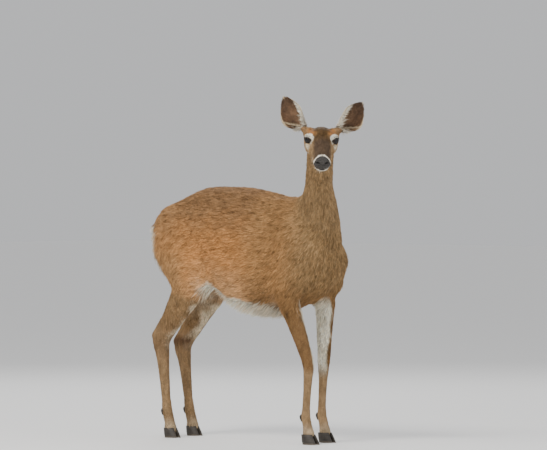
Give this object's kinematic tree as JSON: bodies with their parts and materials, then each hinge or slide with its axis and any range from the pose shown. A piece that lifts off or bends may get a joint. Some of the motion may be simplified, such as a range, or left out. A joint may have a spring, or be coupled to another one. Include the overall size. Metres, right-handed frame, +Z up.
{
  "type": "white-tailed deer",
  "caption": "Life-size standing white-tailed doe as a still figure: body facing ahead, head turned to look over its right shoulder, tail down.",
  "frame": {"origin": "centre of the bounding box's footprint, on the floor under the hooves", "axes": "+X the way the body faces, +Y the animal's left, +Z up"},
  "size_m": [1.1516, 0.5352, 1.2201],
  "materials": {
    "coat": "short summer hair, reddish brown over a grey-brown back, white below",
    "eye": "wet and glossy, dark brown",
    "nose": "moist black skin",
    "horn": "dark keratin"
  },
  "bodies": {
    "root": {"trunk": "coat", "neck": "coat", "head": "coat", "jaw": "coat", "nose": "nose", "eye_left": "eye", "eye_right": "eye", "ear_left": "coat", "ear_right": "coat", "tail": "coat", "forearm_left": "coat", "fore_cannon_left": "coat", "fore_pastern_left": "coat", "hoof_fore_left_outer": "horn", "dewclaw_fore_left_outer": "horn", "hoof_fore_left_inner": "horn", "dewclaw_fore_left_inner": "horn", "forearm_right": "coat", "fore_cannon_right": "coat", "fore_pastern_right": "coat", "hoof_fore_right_inner": "horn", "dewclaw_fore_right_inner": "horn", "hoof_fore_right_outer": "horn", "dewclaw_fore_right_outer": "horn", "gaskin_left": "coat", "hind_cannon_left": "coat", "hind_pastern_left": "coat", "hoof_hind_left_outer": "horn", "dewclaw_hind_left_outer": "horn", "hoof_hind_left_inner": "horn", "dewclaw_hind_left_inner": "horn", "gaskin_right": "coat", "hind_cannon_right": "coat", "hind_pastern_right": "coat", "hoof_hind_right_inner": "horn", "dewclaw_hind_right_inner": "horn", "hoof_hind_right_outer": "horn", "dewclaw_hind_right_outer": "horn"}
  },
  "joints": []
}
